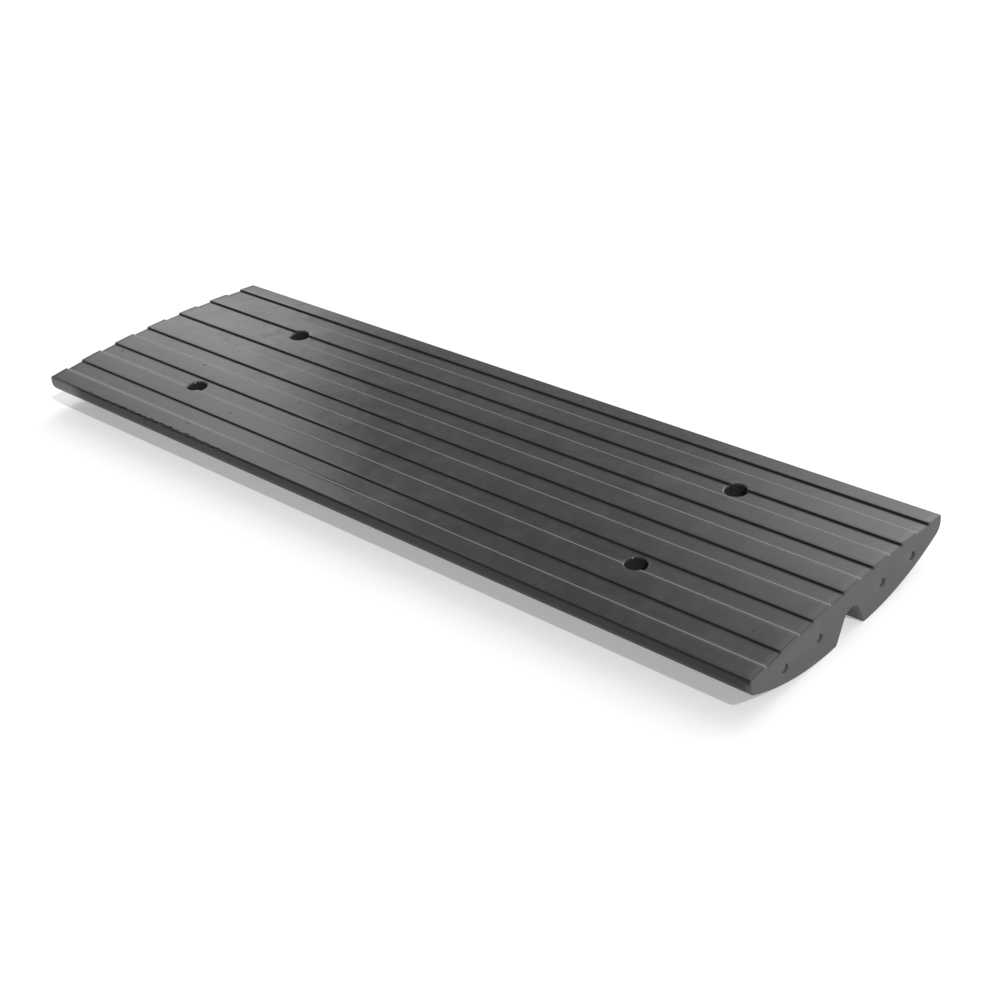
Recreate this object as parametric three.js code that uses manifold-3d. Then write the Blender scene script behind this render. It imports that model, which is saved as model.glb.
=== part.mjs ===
// Portable kerb ramp: a moulded rubber slab with a crowned, ribbed top, a curved underside and an
// arched drain channel. Steel bushes line its four anchor holes, and steel rods stiffen its length.
// Millimetres. X runs along the ramp, Y across it from front (-Y) to rear, Z is up from the ground.
import * as THREE from 'three';
import { mergeVertices } from 'three/addons/utils/BufferGeometryUtils.js';
import Module from 'manifold-3d';

// Slab
const LENGTH = 994;
const WIDTH = 320;
const EDGE_HEIGHT = 46; // top corner of the front and rear edges
const CROWN = 8; // rise of the top from its edges to its middle
const CORNER_RADIUS = 2.5; // top corner of the nose
const NOSE_RADIUS = 13; // round between the nose face and the underside
const END_ROUND = 2; // edge of the end faces

// Underside
const LAND_EDGE = 31; // the ground contact ends this far from the middle
const UNDERSIDE_RADIUS = 288;
const CHANNEL_HEIGHT = 29;
const CHANNEL_MOUTH = 46; // width at the ground, before its lips are rounded
const ARCH_RADIUS = 13;
const LIP_RADIUS = 4;

// Ribs on top
const RIB_PITCH = 50;
const RIB_WIDTH = 28.4;
const RIB_HEIGHT = 2.1;
const RIB_BEVEL = 0.7;
const RIB_DRAFT = 0.4; // lean of a rib's sides
const RIBS_EACH_SIDE = 3; // besides the middle rib

// Anchor holes and their bushes
const ANCHOR_SPACING_X = 636;
const ANCHOR_SPACING_Y = 160;
const RECESS_RADIUS = 11; // room for a bolt head
const RIM_BEVEL = 1.2;
const BOLT_HOLE_RADIUS = 7;
const SEAT_HEIGHT = 26; // top of a bush, which a bolt's washer rests on
const FLANGE_TOP = 24.5;
const FLANGE_RADIUS = 16;
const FLANGE_THICKNESS = 3;
const SLEEVE_RADIUS = 10;
const SLEEVE_BOTTOM = 8;

// Reinforcing rods
const ROD_RADIUS = 4;
const ROD_HEIGHT = 27;
const ROD_INNER = 53; // distance of a rod from the middle
const ROD_OUTER = 107;
const ROD_RECESS = 2; // a rod ends this far inside the end face

const GAP = 0.3; // clearance between a moulded-in piece and the rubber
const OVERRUN = 10; // cutters run this far past the faces that they cut

// Flats that stand for each round of the section, and for a full turn of a hole or a rod
const STEPS = { arch: 8, lip: 4, underside: 14, nose: 7, corner: 4, end: 2 };
const ANCHOR_SEGMENTS = 32;
const ROD_SEGMENTS = 24;

const wasm = await Module();
wasm.setup();

// ---------- solids ----------

function toSolid(geometry) {
  const bare = geometry.clone();
  bare.deleteAttribute('normal');
  bare.deleteAttribute('uv');
  const merged = mergeVertices(bare, 1e-4);
  return new wasm.Manifold(new wasm.Mesh({
    numProp: 3,
    vertProperties: new Float32Array(merged.attributes.position.array),
    triVerts: new Uint32Array(merged.index.array),
  }));
}

function toGeometry(solid) {
  const mesh = solid.getMesh();
  const geometry = new THREE.BufferGeometry();
  geometry.setAttribute('position', new THREE.BufferAttribute(mesh.vertProperties, 3));
  geometry.setIndex(new THREE.BufferAttribute(mesh.triVerts, 1));
  geometry.computeVertexNormals();
  return geometry;
}

// A solid of revolution about the vertical line at x, y, from a closed outline of [radius, height].
function revolve(outline, x, y) {
  const points = outline.map(([radius, height]) => new THREE.Vector2(radius, height));
  const geometry = new THREE.LatheGeometry(points, ANCHOR_SEGMENTS);
  geometry.rotateX(Math.PI / 2);
  geometry.translate(x, y, 0);
  return geometry;
}

// A round bar along X at the rods' height, centred on the ramp's length.
function barAlong(radius, length, across) {
  const geometry = new THREE.CylinderGeometry(radius, radius, length, ROD_SEGMENTS);
  geometry.rotateZ(Math.PI / 2);
  geometry.translate(0, across, ROD_HEIGHT);
  return geometry;
}

// ---------- the slab's cross-section, as [across, up] points ----------

// Near its two ends the slab is rounded over, so each function below takes an inset: how far the
// outline has drawn in from the full section.

function arc(centreAcross, centreUp, radius, startAngle, endAngle, steps) {
  const points = [];
  for (let step = 0; step <= steps; step += 1) {
    const angle = startAngle + (endAngle - startAngle) * step / steps;
    points.push([centreAcross + radius * Math.cos(angle), centreUp + radius * Math.sin(angle)]);
  }
  return points;
}

function crownHeight(across) {
  return EDGE_HEIGHT + CROWN * (1 - (2 * across / WIDTH) ** 2);
}

// Half of the channel: down the arch, the flared wall that leaves it tangentially, and the lip.
function channelHalf(inset) {
  const archCentre = CHANNEL_HEIGHT - ARCH_RADIUS;
  const mouth = CHANNEL_MOUTH / 2;
  const flare = Math.acos(ARCH_RADIUS / Math.hypot(mouth, archCentre)) - Math.atan2(archCentre, mouth);
  const lipReach = LIP_RADIUS * Math.tan((Math.PI / 2 - flare) / 2);
  return [
    ...arc(0, archCentre, ARCH_RADIUS + inset, Math.PI / 2, flare, STEPS.arch),
    ...arc(mouth + lipReach, LIP_RADIUS, LIP_RADIUS - inset, Math.PI + flare, 1.5 * Math.PI, STEPS.lip),
  ];
}

// Half of the underside: the flat land's outer edge, the long curve and the round up to the nose.
function undersideHalf(inset) {
  const noseCentre = WIDTH / 2 - NOSE_RADIUS;
  const rise = Math.asin((noseCentre - LAND_EDGE) / (UNDERSIDE_RADIUS - NOSE_RADIUS));
  const noseUp = UNDERSIDE_RADIUS - (UNDERSIDE_RADIUS - NOSE_RADIUS) * Math.cos(rise);
  const down = -Math.PI / 2;
  return [
    ...arc(LAND_EDGE, UNDERSIDE_RADIUS, UNDERSIDE_RADIUS - inset, down, down + rise, STEPS.underside),
    ...arc(noseCentre, noseUp, NOSE_RADIUS - inset, down + rise, 0, STEPS.nose).slice(1),
  ];
}

// One side of a rib, from its bevelled top edge down to its foot; side is +1 or -1.
function ribSide(middle, side, inset) {
  const edge = middle + side * (RIB_WIDTH / 2 - inset);
  const top = crownHeight(edge) - inset;
  return [
    [edge - side * RIB_BEVEL, top],
    [edge, top - RIB_BEVEL],
    [edge + side * RIB_DRAFT, top - RIB_HEIGHT],
  ];
}

// Half of the top, from the nose's corner to the middle rib.
function topHalf(inset) {
  const cornerAcross = WIDTH / 2 - CORNER_RADIUS;
  const cornerUp = crownHeight(cornerAcross) - CORNER_RADIUS;
  const points = arc(cornerAcross, cornerUp, CORNER_RADIUS - inset, 0, Math.PI / 2, STEPS.corner);
  for (let rib = RIBS_EACH_SIDE; rib > 0; rib -= 1) {
    const groove = (rib - 0.5) * RIB_PITCH;
    points.push(...ribSide(rib * RIB_PITCH, -1, inset));
    points.push([groove, crownHeight(groove) - RIB_HEIGHT - inset]);
    points.push(...ribSide((rib - 1) * RIB_PITCH, 1, inset).reverse());
    points.push([(rib - 1) * RIB_PITCH, crownHeight((rib - 1) * RIB_PITCH) - inset]);
  }
  return points;
}

function sectionOutline(inset) {
  const half = [...channelHalf(inset), ...undersideHalf(inset), ...topHalf(inset)];
  const mirrored = half.slice(1, -1).reverse().map(([across, up]) => [-across, up]);
  return [...half, ...mirrored];
}

// A closed body along X through rings of { x, outline }, which all have as many points.
function loft(rings) {
  const count = rings[0].outline.length;
  const positions = rings.flatMap(({ x, outline }) => outline.flatMap(([across, up]) => [x, across, up]));
  const faces = [];
  for (let ring = 0; ring + 1 < rings.length; ring += 1) {
    for (let point = 0; point < count; point += 1) {
      const next = (point + 1) % count;
      const here = ring * count;
      faces.push(here + point, here + next, here + count + next);
      faces.push(here + point, here + count + next, here + count + point);
    }
  }
  const lastRing = (rings.length - 1) * count;
  const capOutline = rings[0].outline.map(([across, up]) => new THREE.Vector2(across, up));
  for (const [a, b, c] of THREE.ShapeUtils.triangulateShape(capOutline, [])) {
    faces.push(c, b, a);
    faces.push(lastRing + a, lastRing + b, lastRing + c);
  }
  const geometry = new THREE.BufferGeometry();
  geometry.setAttribute('position', new THREE.Float32BufferAttribute(positions, 3));
  geometry.setIndex(faces);
  return geometry;
}

function slabSolid() {
  const rightRings = [];
  for (let step = 0; step <= STEPS.end; step += 1) {
    const angle = Math.PI / 2 * step / STEPS.end;
    const x = LENGTH / 2 - END_ROUND * (1 - Math.sin(angle));
    rightRings.push({ x, outline: sectionOutline(END_ROUND * (1 - Math.cos(angle))) });
  }
  const leftRings = rightRings.map(({ x, outline }) => ({ x: -x, outline })).reverse();
  return toSolid(loft([...leftRings, ...rightRings]));
}

// ---------- cutters and inserts ----------

// Everything that an anchor hole takes out of the rubber: bolt hole, bush pocket and bolt recess.
function anchorCutter(x, y) {
  const top = crownHeight(0) + OVERRUN;
  const rim = crownHeight(y) - RIB_HEIGHT;
  const outline = [
    [0, -OVERRUN],
    [BOLT_HOLE_RADIUS, -OVERRUN],
    [BOLT_HOLE_RADIUS, SLEEVE_BOTTOM - GAP],
    [SLEEVE_RADIUS + GAP, SLEEVE_BOTTOM - GAP],
    [SLEEVE_RADIUS + GAP, FLANGE_TOP - FLANGE_THICKNESS - GAP],
    [FLANGE_RADIUS + GAP, FLANGE_TOP - FLANGE_THICKNESS - GAP],
    [FLANGE_RADIUS + GAP, FLANGE_TOP + GAP],
    [RECESS_RADIUS, FLANGE_TOP + GAP],
    [RECESS_RADIUS, rim - RIM_BEVEL],
    [RECESS_RADIUS + RIM_BEVEL, rim],
    [RECESS_RADIUS + RIM_BEVEL + (top - rim), top],
    [0, top],
  ];
  return toSolid(revolve(outline, x, y));
}

// A bush: a sleeve round the bolt, a flange held in the rubber and a seat for the bolt's washer.
function bushGeometry(x, y) {
  const outline = [
    [BOLT_HOLE_RADIUS, SEAT_HEIGHT],
    [BOLT_HOLE_RADIUS, SLEEVE_BOTTOM],
    [SLEEVE_RADIUS, SLEEVE_BOTTOM],
    [SLEEVE_RADIUS, FLANGE_TOP - FLANGE_THICKNESS],
    [FLANGE_RADIUS, FLANGE_TOP - FLANGE_THICKNESS],
    [FLANGE_RADIUS, FLANGE_TOP],
    [RECESS_RADIUS - GAP, FLANGE_TOP],
    [RECESS_RADIUS - GAP, SEAT_HEIGHT],
    [BOLT_HOLE_RADIUS, SEAT_HEIGHT],
  ];
  return revolve(outline, x, y);
}

const anchors = [];
for (const [side, x] of [['left', -ANCHOR_SPACING_X / 2], ['right', ANCHOR_SPACING_X / 2]]) {
  for (const [edge, y] of [['front', -ANCHOR_SPACING_Y / 2], ['rear', ANCHOR_SPACING_Y / 2]]) {
    anchors.push({ name: `anchor_bush_${edge}_${side}`, x, y });
  }
}

const rods = [];
for (const [edge, sign] of [['front', -1], ['rear', 1]]) {
  for (const [place, distance] of [['inner', ROD_INNER], ['outer', ROD_OUTER]]) {
    rods.push({ name: `reinforcing_rod_${edge}_${place}`, across: sign * distance });
  }
}

// ---------- assembly ----------

const rubber = { color: 0x4b4b4c, roughness: 0.62, metalness: 0 };
const zincSteel = { color: 0x9a9c9e, roughness: 0.42, metalness: 0.9 };
const barSteel = { color: 0x55565a, roughness: 0.6, metalness: 0.6 };

const ramp = new THREE.Group();

function addPiece(name, geometry, finish) {
  const mesh = new THREE.Mesh(geometry, new THREE.MeshStandardMaterial(finish));
  mesh.name = name;
  ramp.add(mesh);
}

let slab = slabSolid();
for (const { x, y } of anchors) {
  slab = slab.subtract(anchorCutter(x, y));
}
for (const { across } of rods) {
  slab = slab.subtract(toSolid(barAlong(ROD_RADIUS + GAP, LENGTH + 2 * OVERRUN, across)));
}
addPiece('ramp_body', toGeometry(slab), rubber);

for (const { name, x, y } of anchors) {
  addPiece(name, bushGeometry(x, y), zincSteel);
}
for (const { name, across } of rods) {
  addPiece(name, barAlong(ROD_RADIUS, LENGTH - 2 * ROD_RECESS, across), barSteel);
}

export default ramp;
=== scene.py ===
"""Looks of the portable kerb ramp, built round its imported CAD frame. Blender 4.5, metres, +Z up.

The rubber slab is lofted again at a finer grain than the CAD solid, with soft edges, moulding flaws
and a worn front edge. The steel bushes and rods are turned again with round edges.
"""
import math
import random

import bmesh
import bpy
from mathutils import Matrix, Vector, noise


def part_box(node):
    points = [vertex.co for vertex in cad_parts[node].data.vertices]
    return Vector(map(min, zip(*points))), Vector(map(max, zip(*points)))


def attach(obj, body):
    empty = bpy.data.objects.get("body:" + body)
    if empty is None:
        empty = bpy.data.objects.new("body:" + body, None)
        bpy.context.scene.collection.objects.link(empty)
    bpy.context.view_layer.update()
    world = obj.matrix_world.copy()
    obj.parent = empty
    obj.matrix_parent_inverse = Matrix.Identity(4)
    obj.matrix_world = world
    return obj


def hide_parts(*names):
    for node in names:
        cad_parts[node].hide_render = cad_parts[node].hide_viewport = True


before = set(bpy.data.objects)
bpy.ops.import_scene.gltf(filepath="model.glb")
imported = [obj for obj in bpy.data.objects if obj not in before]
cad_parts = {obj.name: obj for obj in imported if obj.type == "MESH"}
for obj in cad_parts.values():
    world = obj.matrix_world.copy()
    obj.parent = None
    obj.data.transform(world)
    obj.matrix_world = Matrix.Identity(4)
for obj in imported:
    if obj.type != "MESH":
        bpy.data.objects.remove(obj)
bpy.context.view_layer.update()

MM = 0.001
UP = math.pi / 2

# ---------- driving dimensions, in metres ----------

# They are the CAD part's own, except the rounds and fillets of the ribs, the hole rims, the rod
# mouths and the steel pieces, and the gap round the rods, which are this model's.
slab_low, slab_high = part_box("ramp_body")
LENGTH = slab_high.x - slab_low.x
WIDTH = slab_high.y - slab_low.y
TOP = slab_high.z
CROWN = 8 * MM
CORNER_RADIUS = 2.5 * MM
NOSE_RADIUS = 13 * MM
END_ROUND = 2 * MM

LAND_EDGE = 31 * MM
UNDERSIDE_RADIUS = 288 * MM
CHANNEL_HEIGHT = 29 * MM
CHANNEL_MOUTH = 46 * MM
ARCH_RADIUS = 13 * MM
LIP_RADIUS = 4 * MM

RIB_PITCH = 50 * MM
RIB_WIDTH = 28.4 * MM
RIB_HEIGHT = 2.1 * MM
RIB_DRAFT = 0.4 * MM
RIB_ROUND = 0.7 * MM
RIB_REAR_ROUND = 1.6 * MM
RIB_FILLET = 0.6 * MM
RIBS_EACH_SIDE = 3

RECESS_RADIUS = 11 * MM
RIM_ROUND = 1.8 * MM
BOLT_HOLE_RADIUS = 7 * MM
FLANGE_TOP = 24.5 * MM
FLANGE_THICKNESS = 3 * MM
SLEEVE_RADIUS = 10 * MM
BUSH_ROUND = 0.4 * MM
GAP = 0.3 * MM
ROD_GAP = 0.12 * MM
MOUTH_ROUND = 1.8 * MM
OVERRUN = 10 * MM

# Where the marks are, from the left end: the paler patch on the front of the nose, then the chipped edge.
PALE_END_LENGTH = 52 * MM
PALE_END_FADE = 14 * MM
CHIPS_START = 75 * MM
CHIPS_END = 330 * MM
CHIPS_FADE = 15 * MM
CHIP_CLEARANCE = 1.5
PIT_COUNT = 46
PIT_SPACING = 8 * MM
FLAW_SEED = 7

# How finely the visual meshes are drawn, and the turns across which their shading stays sharp.
STEPS = {"arch": 14, "wall": 5, "lip": 6, "land": 2, "underside": 26, "nose": 10, "face": 3, "corner": 6}
RIB_STEPS = {"top": 6, "round": 5, "fillet": 4, "groove": 5}
END_STEPS = 6
BUSH_STEPS = 4
RING_SPACING = 7 * MM
CAP_MARGIN = 0.3 * MM
HOLE_SEGMENTS = 96
ROD_SEGMENTS = 48
RIM_STEPS = 6
RUBBER_SHARP = math.radians(38)
STEEL_SHARP = math.radians(50)


# ---------- the slab's cross-section, as (across, up) points ----------

def arc(across, up, radius, start, end, steps):
    """Points on an arc round (across, up), both ends included."""
    angles = [start + (end - start) * step / steps for step in range(steps + 1)]
    return [(across + radius * math.cos(a), up + radius * math.sin(a)) for a in angles]


def between(start, end, steps):
    """Points that divide a straight stretch, neither end included."""
    shares = [step / steps for step in range(1, steps)]
    return [(start[0] + (end[0] - start[0]) * s, start[1] + (end[1] - start[1]) * s) for s in shares]


def crown_height(across):
    """Height of the ribs' tops, which follow the crown, before any sag."""
    return TOP - CROWN * (2 * across / WIDTH) ** 2


def channel_half(inset):
    """Down the arch, the flared wall that leaves it tangentially, and the lip."""
    arch_centre = CHANNEL_HEIGHT - ARCH_RADIUS
    mouth = CHANNEL_MOUTH / 2
    flare = math.acos(ARCH_RADIUS / math.hypot(mouth, arch_centre)) - math.atan2(arch_centre, mouth)
    lip_reach = LIP_RADIUS * math.tan((UP - flare) / 2)
    arch = arc(0, arch_centre, ARCH_RADIUS + inset, UP, flare, STEPS["arch"])
    lip = arc(mouth + lip_reach, LIP_RADIUS, LIP_RADIUS - inset, math.pi + flare, 3 * UP, STEPS["lip"])
    return arch + between(arch[-1], lip[0], STEPS["wall"]) + lip


def underside_half(inset):
    """The flat land's outer edge, the long curve and the round up to the nose."""
    nose_centre = WIDTH / 2 - NOSE_RADIUS
    rise = math.asin((nose_centre - LAND_EDGE) / (UNDERSIDE_RADIUS - NOSE_RADIUS))
    nose_up = UNDERSIDE_RADIUS - (UNDERSIDE_RADIUS - NOSE_RADIUS) * math.cos(rise)
    curve = arc(LAND_EDGE, UNDERSIDE_RADIUS, UNDERSIDE_RADIUS - inset, -UP, rise - UP, STEPS["underside"])
    return curve + arc(nose_centre, nose_up, NOSE_RADIUS - inset, rise - UP, 0, STEPS["nose"])[1:]


def rib_side(middle, side, inset, rear):
    """One side of a rib, from its rounded top edge down to the fillet at its foot; side is +1 or -1.

    rear says that it is the rib's rear side, whose edge is more worn and has a larger round.
    """
    edge = middle + side * (RIB_WIDTH / 2 - inset)
    top = crown_height(edge) - inset
    lean = math.atan2(RIB_DRAFT, RIB_HEIGHT)
    edge_round = RIB_REAR_ROUND if rear else RIB_ROUND
    round_centre = (edge - side * edge_round, top - edge_round)
    drop = round_centre[1] - (top - RIB_HEIGHT + RIB_FILLET)
    reach = (edge_round + RIB_FILLET + drop * math.sin(lean)) / math.cos(lean)
    fillet_centre = (round_centre[0] + side * reach, round_centre[1] - drop)
    over = arc(*round_centre, edge_round, UP, lean, RIB_STEPS["round"])
    foot = arc(*fillet_centre, RIB_FILLET, math.pi + lean, 3 * UP, RIB_STEPS["fillet"])
    if side < 0:
        over = [(2 * round_centre[0] - across, up) for across, up in over]
        foot = [(2 * fillet_centre[0] - across, up) for across, up in foot]
    return over + foot


def crowned(start, end, steps):
    """Divides a stretch of rib or groove, following the crown between its two ends."""
    points = []
    for step in range(1, steps):
        share = step / steps
        across = start[0] + (end[0] - start[0]) * share
        base = start[1] - crown_height(start[0]) + (
            end[1] - crown_height(end[0]) - start[1] + crown_height(start[0])) * share
        points.append((across, crown_height(across) + base))
    return points


def top_half(inset, half):
    """From the nose's corner to the middle of the middle rib; half is +1 for the rear, -1 for the front."""
    corner_across = WIDTH / 2 - CORNER_RADIUS
    corner_up = crown_height(corner_across) - CORNER_RADIUS
    points = arc(corner_across, corner_up, CORNER_RADIUS - inset, 0, UP, STEPS["corner"])
    for rib in range(RIBS_EACH_SIDE, 0, -1):
        outer = rib_side(rib * RIB_PITCH, -1, inset, rear=half < 0)
        inner = rib_side((rib - 1) * RIB_PITCH, 1, inset, rear=half > 0)[::-1]
        points += crowned(points[-1], outer[0], RIB_STEPS["top"]) + outer
        points += crowned(outer[-1], inner[0], RIB_STEPS["groove"]) + inner
    middle = (0, crown_height(0) - inset)
    return points + crowned(points[-1], middle, RIB_STEPS["top"] // 2) + [middle]


def section_half(inset, half):
    """Half the outline, from the top of the channel round by the nose to the middle of the top."""
    below = channel_half(inset)
    under = underside_half(inset)
    above = top_half(inset, half)
    points = below + between(below[-1], under[0], STEPS["land"]) + under
    return points + between(under[-1], above[0], STEPS["face"]) + above


def section(inset):
    """The whole outline, drawn in by inset as it is near the slab's rounded ends."""
    front = [(-across, up) for across, up in section_half(inset, -1)]
    return section_half(inset, 1) + front[-2:0:-1]


# ---------- the moulding's unevenness ----------

def sag(x, across):
    """How far the top lies below its true shape, always 0 or more, so that the slab stays in its box."""
    broad = 0.5 + 0.5 * noise.noise(Vector((x / 0.16, across / 0.09, 3.1)))
    local = 0.5 + 0.5 * noise.noise(Vector((x / 0.035, across / 0.025, 9.7)))
    return 0.16 * MM * broad + 0.03 * MM * local


def settle(x, across, up):
    """A slab point moved by the unevenness, which fades out down the sides."""
    share = min(1, max(0, (up - 20 * MM) / (20 * MM)))
    above_channel = 1 if abs(across) > RIB_PITCH / 2 or up > CHANNEL_HEIGHT + 5 * MM else 0
    down = sag(x, across) * share * above_channel
    inward = math.copysign(sag(x, across + 1) * share, across) if abs(across) > WIDTH / 2 - 4 * MM else 0
    return (x, across - inward, up - down)


TOP_OUTLINE = sorted(top_half(0, 1) + [(-across, up) for across, up in top_half(0, -1)])


def surface_height(x, across):
    """Height of the finished top at a place."""
    for (a, low), (b, high) in zip(TOP_OUTLINE, TOP_OUTLINE[1:]):
        if a <= across <= b:
            share = (across - a) / (b - a) if b > a else 0
            return low + (high - low) * share - sag(x, across)
    return TOP_OUTLINE[0][1]


# ---------- mesh helpers ----------

def mesh_object(name, points, faces, *materials):
    mesh = bpy.data.meshes.new(name)
    mesh.from_pydata(points, [], faces)
    mesh.validate()
    for material in materials:
        mesh.materials.append(material)
    piece = bpy.data.objects.new(name, mesh)
    bpy.context.scene.collection.objects.link(piece)
    return piece


def rings_to_faces(rings, count):
    """Quads between neighbouring rings of count points each."""
    faces = []
    for ring in range(rings - 1):
        here = ring * count
        there = here + count
        for point in range(count):
            following = (point + 1) % count
            faces.append((here + point, there + point, there + following, here + following))
    return faces


def spun(profile, segments, closed):
    """A body of revolution about Z. profile(angle) gives its (radius, height) points, upwards outside.

    A closed profile returns to its start; an open one is capped at both of its ends.
    """
    points = []
    for segment in range(segments):
        angle = 2 * math.pi * segment / segments
        turned = (math.cos(angle), math.sin(angle))
        points += [(radius * turned[0], radius * turned[1], height) for radius, height in profile(angle)]
    count = len(points) // segments
    faces = []
    for segment in range(segments):
        here = segment * count
        there = (segment + 1) % segments * count
        for point in range(count if closed else count - 1):
            following = (point + 1) % count
            faces.append((here + point, there + point, there + following, here + following))
    if not closed:
        faces.append([segment * count for segment in reversed(range(segments))])
        faces.append([segment * count + count - 1 for segment in range(segments)])
    return points, faces


def rounded(corners, radius, steps):
    """A closed outline, drawn anticlockwise, with each corner rounded."""
    points = []
    for index, corner in enumerate(corners):
        here = Vector(corner)
        back = (Vector(corners[index - 1]) - here).normalized()
        on = (Vector(corners[(index + 1) % len(corners)]) - here).normalized()
        half = back.angle(on) / 2
        centre = here + (back + on).normalized() * radius / math.sin(half)
        start = here + back * radius / math.tan(half) - centre
        turn = (math.pi - 2 * half) * (1 if on.cross(-back) < 0 else -1)
        first = math.atan2(start.y, start.x)
        points += arc(centre.x, centre.y, radius, first, first + turn, steps)
    return points


def moved(points, matrix):
    return [tuple(matrix @ Vector(point)) for point in points]


def joined(bodies):
    """Several bodies' points and faces as one."""
    points, faces = [], []
    for body_points, body_faces in bodies:
        faces += [[index + len(points) for index in face] for face in body_faces]
        points += body_points
    return points, faces


def cut(piece, bodies):
    """Takes bodies that don't touch one another out of a piece."""
    cutter = mesh_object("cutter", *joined(bodies))
    modifier = piece.modifiers.new("cut", "BOOLEAN")
    modifier.operation = "DIFFERENCE"
    modifier.solver = "EXACT"
    modifier.object = cutter
    result = bpy.data.meshes.new_from_object(piece.evaluated_get(bpy.context.evaluated_depsgraph_get()))
    piece.modifiers.clear()
    old = piece.data
    result.materials.clear()
    for material in old.materials:
        result.materials.append(material)
    result.polygons.foreach_set("material_index", [0] * len(result.polygons))
    piece.data = result
    bpy.data.meshes.remove(old)
    bpy.data.objects.remove(cutter)


def smooth(piece, sharp_angle):
    """Smooth shading, except across edges that turn by more than sharp_angle."""
    piece.data.shade_smooth()
    piece.data.set_sharp_from_angle(angle=sharp_angle)


# ---------- the rubber slab ----------

def slab_body():
    """The loft along X, with rounded ends and flat caps."""
    stations = [(LENGTH / 2, END_ROUND + CAP_MARGIN)]
    for step in range(END_STEPS, -1, -1):
        angle = UP * step / END_STEPS
        stations.append((LENGTH / 2 - END_ROUND * (1 - math.sin(angle)), END_ROUND * (1 - math.cos(angle))))
    straight = LENGTH / 2 - END_ROUND
    count = round(2 * straight / RING_SPACING)
    middle = [(straight - 2 * straight * step / count, 0) for step in range(1, count)]
    stations = stations + middle + [(-x, inset) for x, inset in reversed(stations)]
    outlines = {inset: section(inset) for inset in {inset for _, inset in stations}}
    points = [settle(x, across, up) for x, inset in stations for across, up in outlines[inset]]
    size = len(outlines[0])
    faces = rings_to_faces(len(stations), size)
    faces.append(list(range(size)))
    faces.append([(len(stations) - 1) * size + index for index in reversed(range(size))])
    return points, faces


def anchor_cutter(x, y, flange_radius, sleeve_bottom):
    """What an anchor hole takes out: bolt hole, bush pocket, bolt recess and its rounded rim.

    The rim follows the ribbed top round the hole.
    """
    def profile(angle):
        flange_under = FLANGE_TOP - FLANGE_THICKNESS - GAP
        across = y + (RECESS_RADIUS + RIM_ROUND / 2) * math.sin(angle)
        along = x + (RECESS_RADIUS + RIM_ROUND / 2) * math.cos(angle)
        surface = surface_height(along, across)
        centre = (RECESS_RADIUS + RIM_ROUND, surface - RIM_ROUND)
        rim = arc(*centre, RIM_ROUND, math.pi, UP, RIM_STEPS)
        return [
            (BOLT_HOLE_RADIUS, -OVERRUN),
            (BOLT_HOLE_RADIUS, sleeve_bottom - GAP),
            (SLEEVE_RADIUS + GAP, sleeve_bottom - GAP),
            (SLEEVE_RADIUS + GAP, flange_under),
            (flange_radius + GAP, flange_under),
            (flange_radius + GAP, FLANGE_TOP + GAP),
            (RECESS_RADIUS, FLANGE_TOP + GAP),
            *rim,
            (RECESS_RADIUS + RIM_ROUND + GAP, surface + GAP),
            (RECESS_RADIUS + RIM_ROUND + GAP, TOP + OVERRUN),
        ]
    points, faces = spun(profile, HOLE_SEGMENTS, closed=False)
    return moved(points, Matrix.Translation((x, y, 0))), faces


def rod_cutter(y, z, radius):
    """A bore for a rod along X, with round mouths at the two end faces."""
    half = LENGTH / 2
    mouth = arc(radius + MOUTH_ROUND, half - MOUTH_ROUND, MOUTH_ROUND, math.pi, UP, RIM_STEPS)
    outer = [*mouth, (radius + MOUTH_ROUND, half + OVERRUN)]
    outline = [(r, -h) for r, h in reversed(outer)] + outer
    points, faces = spun(lambda angle: outline, ROD_SEGMENTS, closed=False)
    return moved(points, Matrix.Translation((0, y, z)) @ Matrix.Rotation(UP, 4, "Y")), faces


def blob(centre, radii, roughness, seed):
    """A small irregular lump, to be cut out as a chip or a pit."""
    ball = bmesh.new()
    bmesh.ops.create_icosphere(ball, subdivisions=2, radius=1)
    points = []
    for vertex in ball.verts:
        swell = 1 + roughness * noise.noise(vertex.co * 1.7 + Vector((seed * 3.7, seed * 1.3, 0)))
        points.append(tuple(centre[axis] + vertex.co[axis] * swell * radii[axis] for axis in range(3)))
    faces = [[vertex.index for vertex in face.verts] for face in ball.faces]
    ball.free()
    return points, faces


def edge_chips(draws):
    """Chips along the left part of the front top edge, in rows so that none touches its neighbour."""
    rows = ([], [], [])
    row_ends = [-LENGTH] * len(rows)
    x = CHIPS_START - LENGTH / 2
    while x < CHIPS_END - LENGTH / 2:
        length = draws.uniform(2.2, 6.5) * MM
        into_worn = x + LENGTH / 2 - CHIPS_START + CHIPS_FADE
        wear = math.sin(math.pi * into_worn / (CHIPS_END - CHIPS_START + 2 * CHIPS_FADE)) ** 0.5
        reach = (draws.uniform(0.8, 2.3) * wear + 1.2) * MM
        depth = (draws.uniform(0.7, 1.6) * wear + 0.4) * MM
        across = -WIDTH / 2 + draws.uniform(0.2, 1.2) * MM
        up = surface_height(x, -WIDTH / 2 + 3 * MM) - draws.uniform(0, 0.6) * MM
        for row, end in enumerate(row_ends):
            if x - CHIP_CLEARANCE * length > end:
                seed = len(rows[row]) + 50 * row
                rows[row].append(blob((x, across, up), (length, reach, depth), 0.7, seed))
                row_ends[row] = x + CHIP_CLEARANCE * length
                break
        x += length * draws.uniform(0.75, 1.15)
    return rows


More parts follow.
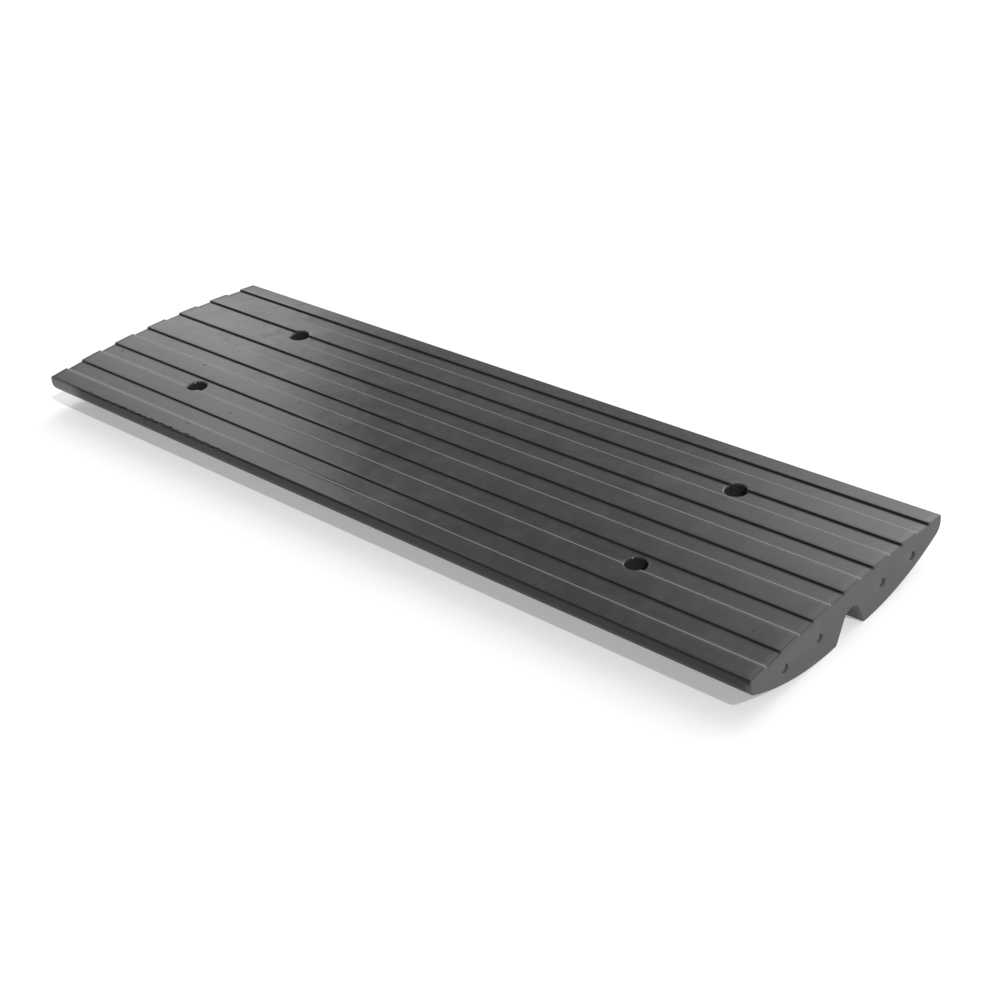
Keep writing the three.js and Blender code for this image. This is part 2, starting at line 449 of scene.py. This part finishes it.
def surface_pits(draws, count):
    """Small air pits in the top, spread along the slab and clear of one another and of the holes."""
    places = []
    while len(places) < count:
        x = draws.uniform(-0.48, 0.48) * LENGTH
        y = draws.uniform(-0.47, 0.47) * WIDTH
        clear = all(math.hypot(x - a, y - b) > PIT_SPACING for a, b in places)
        open_top = all(math.hypot(x - a.x, y - a.y) > 2 * RECESS_RADIUS for a in anchors.values())
        if clear and open_top:
            places.append((x, y))
    pits = []
    for index, (x, y) in enumerate(places):
        size = draws.uniform(0.5, 1.3) * MM
        centre = (x, y, surface_height(x, y) + 0.35 * size)
        pits.append(blob(centre, (size * draws.uniform(0.9, 1.6), size, 0.9 * size), 0.6, 100 + index))
    return pits


def middle_of(node):
    low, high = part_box(node)
    return (low + high) / 2


BUSH_NODES = sorted(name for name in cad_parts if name.startswith("anchor_bush"))
ROD_NODES = sorted(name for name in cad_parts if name.startswith("reinforcing_rod"))
anchors = {name: middle_of(name) for name in BUSH_NODES}
rods = {name: middle_of(name) for name in ROD_NODES}


# ---------- node helpers ----------

class Graph:
    """Short ways to add shader nodes to one tree."""

    def __init__(self, owner):
        owner.use_nodes = True
        self.tree = owner.node_tree
        self.tree.nodes.clear()

    def add(self, kind, **values):
        node = self.tree.nodes.new(kind)
        for name, value in values.items():
            setattr(node, name, value)
        return node

    def feed(self, socket, value):
        if isinstance(value, bpy.types.NodeSocket):
            self.tree.links.new(value, socket)
        else:
            socket.default_value = value

    def math(self, operation, *values):
        node = self.add("ShaderNodeMath", operation=operation)
        for index, value in enumerate(values):
            self.feed(node.inputs[index], value)
        return node.outputs[0]

    def ramp(self, value, start, end, low=0.0, high=1.0):
        """value from start to end becomes low to high, smoothly, and is held outside that range."""
        node = self.add("ShaderNodeMapRange", interpolation_type="SMOOTHSTEP")
        for index, item in enumerate((value, start, end, low, high)):
            self.feed(node.inputs[index], item)
        return node.outputs[0]

    def stretched(self, vector, scale):
        node = self.add("ShaderNodeMapping")
        self.feed(node.inputs["Vector"], vector)
        self.feed(node.inputs["Scale"], scale)
        return node.outputs[0]

    def noise(self, vector, scale, detail=2.0, roughness=0.5, distortion=0.0):
        node = self.add("ShaderNodeTexNoise")
        self.feed(node.inputs["Vector"], vector)
        for name, value in (("Scale", scale), ("Detail", detail), ("Roughness", roughness),
                            ("Distortion", distortion)):
            self.feed(node.inputs[name], value)
        return node.outputs["Fac"]

    def blend(self, share, first, second):
        node = self.add("ShaderNodeMix", data_type="RGBA")
        self.feed(node.inputs["Factor"], share)
        self.feed(node.inputs[6], first)
        self.feed(node.inputs[7], second)
        return node.outputs[2]

    def bump(self, height, distance, normal=None):
        node = self.add("ShaderNodeBump")
        self.feed(node.inputs["Height"], height)
        self.feed(node.inputs["Distance"], distance)
        self.feed(node.inputs["Strength"], 1.0)
        if normal is not None:
            self.feed(node.inputs["Normal"], normal)
        return node.outputs[0]

    def surface(self, **values):
        shader = self.add("ShaderNodeBsdfPrincipled")
        for name, value in values.items():
            self.feed(shader.inputs[name.replace("_", " ")], value)
        output = self.add("ShaderNodeOutputMaterial")
        self.feed(output.inputs["Surface"], shader.outputs[0])


def grey(level, blue=1.0):
    return (level, level, level * blue, 1)


# ---------- materials ----------

def rubber_material():
    """Dark moulded rubber: satin on top, matt and paler on the end faces, matt on the nose and below. The
    end faces' paleness is partly painted light; the nose's darkness and the rib feet's are painted shade.
    """
    material = bpy.data.materials.new("moulded_rubber")
    graph = Graph(material)
    place = graph.add("ShaderNodeTexCoord").outputs["Object"]
    axes = graph.add("ShaderNodeSeparateXYZ")
    graph.feed(axes.inputs[0], place)
    facing = graph.add("ShaderNodeSeparateXYZ")
    graph.feed(facing.inputs[0], graph.add("ShaderNodeNewGeometry").outputs["Normal"])

    # Where the rubber is matt: on the end faces, in the mouths of the rods' bores and underneath.
    from_middle = graph.math("ABSOLUTE", axes.outputs["X"])
    low_down = graph.ramp(axes.outputs["Z"], TOP - CROWN - 3 * MM, TOP - CROWN - 6 * MM)
    end_face = graph.ramp(from_middle, LENGTH / 2 - 0.9 * MM, LENGTH / 2 - 0.3 * MM)
    rod_mouth = graph.math("MULTIPLY", low_down,
                           graph.ramp(from_middle, LENGTH / 2 - 6 * MM, LENGTH / 2 - 4 * MM))
    end_face = graph.math("MAXIMUM", end_face, rod_mouth)
    below = graph.ramp(facing.outputs["Z"], 0.05, -0.25)
    matt = graph.math("MAXIMUM", end_face, below)

    # Where it is paler or darker: a pale line on each rib's rear edge, partly wear and partly painted
    # highlight; painted shade on the nose and on each rib's front riser and its foot; a paler patch at the
    # front nose's left end. The distances from the nearest rib's edges are positive towards the rear.
    half_pitch = RIB_PITCH / 2
    from_rear = graph.math("WRAP", graph.math("SUBTRACT", axes.outputs["Y"], RIB_WIDTH / 2 - 0.5 * MM),
                           half_pitch, -half_pitch)
    from_front = graph.math("WRAP", graph.math("ADD", axes.outputs["Y"], RIB_WIDTH / 2),
                            half_pitch, -half_pitch)
    on_rear = graph.ramp(graph.math("ABSOLUTE", from_rear), 2.3 * MM, 0.8 * MM)
    upward = graph.ramp(facing.outputs["Z"], 0.3, 0.7)
    from_nose = graph.math("SUBTRACT", WIDTH / 2, graph.math("ABSOLUTE", axes.outputs["Y"]))
    nose = graph.ramp(from_nose, 3.2 * MM, 1.6 * MM)
    pale_end = PALE_END_LENGTH - LENGTH / 2
    at_left = graph.ramp(axes.outputs["X"], pale_end + PALE_END_FADE, pale_end - PALE_END_FADE)
    pale_nose_end = graph.math("MULTIPLY", graph.math("MULTIPLY", nose, at_left),
                         graph.ramp(facing.outputs["Y"], -0.3, -0.7))
    foot = graph.math("MULTIPLY", graph.ramp(from_front, -1.7 * MM, -0.7 * MM),
                      graph.ramp(from_front, 0.35 * MM, 0.05 * MM))
    on_top = graph.math("MULTIPLY", graph.math("SUBTRACT", 1.0, below), graph.ramp(axes.outputs["Z"],
                        TOP - CROWN - 4 * MM, TOP - CROWN - 3 * MM))
    painted_foot_shade = graph.math("MULTIPLY", graph.math("MULTIPLY", foot, on_top), 0.6)

    # The moulding's own variation, from broad clouds down to a fine grain.
    mottle = graph.noise(place, 42, detail=5, roughness=0.6, distortion=0.4)
    cloud = graph.noise(place, 13, detail=3, roughness=0.55)
    streak = graph.noise(graph.stretched(place, (9, 240, 240)), 1, detail=4, roughness=0.6)
    grain = graph.noise(place, 2600, detail=2)
    speckle = graph.noise(place, 620, detail=3, roughness=0.7)
    broken = graph.ramp(graph.noise(place, 90, detail=4, roughness=0.7), 0.25, 0.6, 0.85, 1.0)
    wear = graph.math("MULTIPLY", graph.math("MULTIPLY", on_rear, upward), broken)

    tone = graph.blend(graph.ramp(mottle, 0.3, 0.7), grey(0.031), grey(0.040))
    tone = graph.blend(graph.math("MULTIPLY", graph.ramp(streak, 0.45, 0.8), 0.2), tone, grey(0.052))
    # A pale line along each rib's upward-facing rear edge: partly wear, partly a painted highlight on the
    # rounded edge.
    tone = graph.blend(graph.math("MULTIPLY", wear, 0.75), tone, grey(0.20))
    tone = graph.blend(graph.math("MULTIPLY", graph.ramp(speckle, 0.62, 0.75), 0.25), tone, grey(0.085))
    # Painted shade: the nose faces, front and rear, are darker.
    tone = graph.blend(graph.math("MULTIPLY", nose, 0.9), tone, grey(0.010))
    # The front of the nose is paler over its left end.
    tone = graph.blend(graph.math("MULTIPLY", pale_nose_end, 0.8), tone, grey(0.13))
    # Painted shade on each rib's front riser and in the corner at its foot, on the upper part only.
    tone = graph.blend(painted_foot_shade, tone, grey(0.006))
    # Paler end faces: partly the matt cut face's own colour, partly painted light from the right. The same
    # paler tone in the rods' bore mouths is painted light that lightens their shade.
    tone = graph.blend(graph.math("MULTIPLY", end_face, 0.9), tone, grey(0.060, 1.05))

    gloss = graph.ramp(cloud, 0.35, 0.7, 0.13, 0.19)
    gloss = graph.math("ADD", gloss, graph.ramp(mottle, 0.45, 0.75, 0.0, 0.07))
    gloss = graph.math("ADD", gloss, graph.ramp(streak, 0.5, 0.85, 0.0, 0.03))
    gloss = graph.math("ADD", gloss, graph.math("MULTIPLY", wear, 0.2))
    gloss = graph.ramp(graph.math("MAXIMUM", matt, graph.math("MAXIMUM", nose, painted_foot_shade)), 0, 1, gloss, 0.5)

    relief = graph.bump(cloud, 0.25 * MM)
    relief = graph.bump(mottle, 0.05 * MM, relief)
    relief = graph.bump(streak, 0.004 * MM, relief)
    relief = graph.bump(speckle, 0.006 * MM, relief)
    relief = graph.bump(grain, 0.004 * MM, relief)
    graph.surface(Base_Color=tone, Roughness=gloss, IOR=1.40, Normal=relief)
    return material


def steel_material(name, shade, low, high, turned):
    """Steel with a mottled film on it and fine marks that run round its own Z axis.

    Its roughness is between low and high, and turned sets how close together the marks are.
    """
    material = bpy.data.materials.new(name)
    graph = Graph(material)
    place = graph.add("ShaderNodeTexCoord").outputs["Object"]
    axes = graph.add("ShaderNodeSeparateXYZ")
    graph.feed(axes.inputs[0], place)
    squared = graph.math("ADD", graph.math("POWER", axes.outputs["X"], 2.0),
                         graph.math("POWER", axes.outputs["Y"], 2.0))
    radius = graph.math("SQRT", squared)
    rings = graph.math("SINE", graph.math("MULTIPLY", graph.math("ADD", radius, axes.outputs["Z"]), turned))
    film = graph.noise(place, 180, detail=4, roughness=0.65)
    spangle = graph.noise(place, 900, detail=2)
    tone = graph.blend(graph.ramp(film, 0.35, 0.7), grey(shade * 0.78), grey(shade, 1.03))
    gloss = graph.ramp(film, 0.3, 0.7, low, high)
    relief = graph.bump(rings, 0.01 * MM)
    relief = graph.bump(spangle, 0.02 * MM, relief)
    return material, graph, tone, gloss, relief


def bush_material():
    material, graph, tone, gloss, relief = steel_material("zinc_plated_steel", 0.55, 0.26, 0.44, 12000)
    graph.surface(Base_Color=tone, Roughness=gloss, Metallic=1.0, Normal=relief)
    return material


def rod_material():
    material, graph, tone, gloss, relief = steel_material("coated_bar_steel", 0.10, 0.45, 0.6, 9000)
    graph.surface(Base_Color=tone, Roughness=gloss, Metallic=0.0, Normal=relief)
    return material


def floor_material():
    """A pale light table: its own glow keeps the shadow as light as it is in the photo."""
    material = bpy.data.materials.new("studio_floor")
    graph = Graph(material)
    graph.surface(Base_Color=grey(0.68), Roughness=1.0, Specular_IOR_Level=0.0,
                  Emission_Color=grey(1.0), Emission_Strength=FLOOR_GLOW)
    return material


# ---------- pieces ----------

def build_slab():
    draws = random.Random(FLAW_SEED)
    slab = mesh_object("rubber_slab", *slab_body(), rubber_material())
    holes = []
    for name, place in anchors.items():
        low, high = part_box(name)
        holes.append(anchor_cutter(place.x, place.y, (high.x - low.x) / 2, low.z))
    for name, place in rods.items():
        low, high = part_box(name)
        holes.append(rod_cutter(place.y, place.z, (high.z - low.z) / 2 + ROD_GAP))
    cut(slab, holes)
    for row in edge_chips(draws):
        cut(slab, row)
    cut(slab, surface_pits(draws, PIT_COUNT))
    smooth(slab, RUBBER_SHARP)
    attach(slab, "root")
    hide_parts("ramp_body")


def build_bushes():
    material = bush_material()
    for name, place in anchors.items():
        low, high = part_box(name)
        flange = (high.x - low.x) / 2
        outline = rounded([
            (BOLT_HOLE_RADIUS, high.z),
            (BOLT_HOLE_RADIUS, low.z),
            (SLEEVE_RADIUS, low.z),
            (SLEEVE_RADIUS, FLANGE_TOP - FLANGE_THICKNESS),
            (flange, FLANGE_TOP - FLANGE_THICKNESS),
            (flange, FLANGE_TOP),
            (RECESS_RADIUS - GAP, FLANGE_TOP),
            (RECESS_RADIUS - GAP, high.z),
        ], BUSH_ROUND, BUSH_STEPS)
        points, faces = spun(lambda angle: outline, HOLE_SEGMENTS, closed=True)
        bush = mesh_object(name.replace("anchor_bush", "turned_bush"), points, faces, material)
        bush.location = (place.x, place.y, 0)
        smooth(bush, STEEL_SHARP)
        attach(bush, "root")
        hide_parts(name)


def build_rods():
    material = rod_material()
    for name, place in rods.items():
        low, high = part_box(name)
        radius = (high.z - low.z) / 2
        half = (high.x - low.x) / 2
        end = arc(radius - BUSH_ROUND, half - BUSH_ROUND, BUSH_ROUND, 0, UP, BUSH_STEPS)
        outline = [(r, -h) for r, h in reversed(end)] + end
        points, faces = spun(lambda angle: outline, ROD_SEGMENTS, closed=False)
        rod = mesh_object(name.replace("reinforcing_rod", "coated_rod"), points, faces, material)
        rod.matrix_world = Matrix.Translation(place) @ Matrix.Rotation(UP, 4, "Y")
        smooth(rod, STEEL_SHARP)
        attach(rod, "root")
        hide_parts(name)


# ---------- studio ----------

# How bright each light is, and how far the softbox and the glow lean as they rise.
ROOM_LEVEL = 0.40
ZENITH_LEVEL = 0.35
GLOW_LEVEL = 2.9
HORIZON_LEVEL = 0.5
SOFTBOX_LEVEL = 1.85
LIGHT_LEAN = math.radians(33)
FLOOR_GLOW = 0.36
FLOOR_HALF = 9.0

KEY_STRENGTH = 1.67
KEY_AZIMUTH = math.radians(-23)
KEY_ELEVATION = math.radians(46.5)
KEY_SPREAD = math.radians(1.5)


def build_floor():
    half = FLOOR_HALF
    corners = [(-half, -half, 0), (half, -half, 0), (half, half, 0), (-half, half, 0)]
    floor = mesh_object("floor", corners, [(0, 1, 2, 3)], floor_material())


CAMERA_AZIMUTH = math.radians(44.01)
CAMERA_ELEVATION = math.radians(31.02)
CAMERA_ROLL = math.radians(-4.66)
CAMERA_DISTANCE = 1.5926
CAMERA_AIM = Vector((0.1347, -0.0624, 0.046))
CAMERA_LENS = 57.7


def build_camera():
    back = Vector((
        math.sin(CAMERA_AZIMUTH) * math.cos(CAMERA_ELEVATION),
        -math.cos(CAMERA_AZIMUTH) * math.cos(CAMERA_ELEVATION),
        math.sin(CAMERA_ELEVATION),
    ))
    level = back.cross(Vector((0, 0, 1))).normalized() * -1
    upright = back.cross(level)
    right = level * math.cos(CAMERA_ROLL) + upright * math.sin(CAMERA_ROLL)
    above = upright * math.cos(CAMERA_ROLL) - level * math.sin(CAMERA_ROLL)
    turn = Matrix((right, above, back)).transposed().to_4x4()
    data = bpy.data.cameras.new("camera")
    data.sensor_width = 36
    data.lens = CAMERA_LENS
    camera = bpy.data.objects.new("camera", data)
    camera.matrix_world = Matrix.Translation(CAMERA_AIM + back * CAMERA_DISTANCE) @ turn
    bpy.context.scene.collection.objects.link(camera)
    bpy.context.scene.camera = camera


def build_key():
    """A high key light from the right, a little to the front; its azimuth runs from +X towards +Y."""
    data = bpy.data.lights.new("key", "SUN")
    data.energy = KEY_STRENGTH
    data.angle = KEY_SPREAD
    key = bpy.data.objects.new("key", data)
    travel = -Vector((
        math.cos(KEY_AZIMUTH) * math.cos(KEY_ELEVATION),
        math.sin(KEY_AZIMUTH) * math.cos(KEY_ELEVATION),
        math.sin(KEY_ELEVATION),
    ))
    key.matrix_world = travel.to_track_quat("-Z", "Y").to_matrix().to_4x4()
    bpy.context.scene.collection.objects.link(key)


def build_world():
    """A dim studio with a tall softbox at the back left and a soft glow at the back right.

    The lights are far away, so they are drawn on the world, and they lean to the left as they rise;
    the camera itself sees plain white.
    """
    world = bpy.data.worlds.new("studio")
    bpy.context.scene.world = world
    graph = Graph(world)
    direction = graph.add("ShaderNodeTexCoord").outputs["Generated"]
    axes = graph.add("ShaderNodeSeparateXYZ")
    graph.feed(axes.inputs[0], direction)
    height = axes.outputs["Z"]
    azimuth = graph.math("ARCTAN2", axes.outputs["Y"], axes.outputs["X"])
    leaning = graph.math("SUBTRACT", azimuth, graph.math("MULTIPLY", height, LIGHT_LEAN))

    def window(value, turn, rise, fall):
        """1 between two soft edges of value, each edge given by where it starts and ends, in degrees."""
        edges = [turn(math.radians(angle)) for angle in (*rise, *fall)]
        return graph.math("MULTIPLY", graph.ramp(value, edges[0], edges[1]),
                          graph.ramp(value, edges[2], edges[3], 1.0, 0.0))

    softbox = graph.math("MULTIPLY", window(leaning, float, (125.9, 127.5), (131, 146)),
                         window(height, math.sin, (9, 22), (46, 58)))
    # The glow grows towards the right, past the edge of what the top reflects to the camera.
    glow = graph.math("MULTIPLY", window(leaning, float, (20, 60), (94, 114)),
                      graph.ramp(height, 0.35, 0.75, 1.0, 0.6))
    overhead = graph.ramp(height, math.sin(math.radians(52)), math.sin(math.radians(70)))
    horizon = graph.ramp(height, math.sin(math.radians(3)), math.sin(math.radians(15)), 1.0, 0.0)
    # The room itself is dimmer in front than behind; the lights add to it.
    level = graph.ramp(axes.outputs["Y"], -0.3, 0.3, ROOM_LEVEL * 0.4, ROOM_LEVEL)
    for share, strength in ((softbox, SOFTBOX_LEVEL), (glow, GLOW_LEVEL), (overhead, ZENITH_LEVEL),
                            (horizon, HORIZON_LEVEL)):
        level = graph.math("ADD", level, graph.math("MULTIPLY", share, strength))
    light = graph.add("ShaderNodeBackground")
    graph.feed(light.inputs["Color"], grey(1))
    graph.feed(light.inputs["Strength"], level)
    plain = graph.add("ShaderNodeBackground")
    graph.feed(plain.inputs["Color"], grey(1))
    graph.feed(plain.inputs["Strength"], 1.0)
    choice = graph.add("ShaderNodeMixShader")
    graph.feed(choice.inputs[0], graph.add("ShaderNodeLightPath").outputs["Is Camera Ray"])
    graph.feed(choice.inputs[1], light.outputs[0])
    graph.feed(choice.inputs[2], plain.outputs[0])
    output = graph.add("ShaderNodeOutputWorld")
    graph.feed(output.inputs["Surface"], choice.outputs[0])


build_slab()
build_bushes()
build_rods()
build_floor()
build_camera()
build_key()
build_world()
bpy.context.scene.view_settings.view_transform = "Standard"
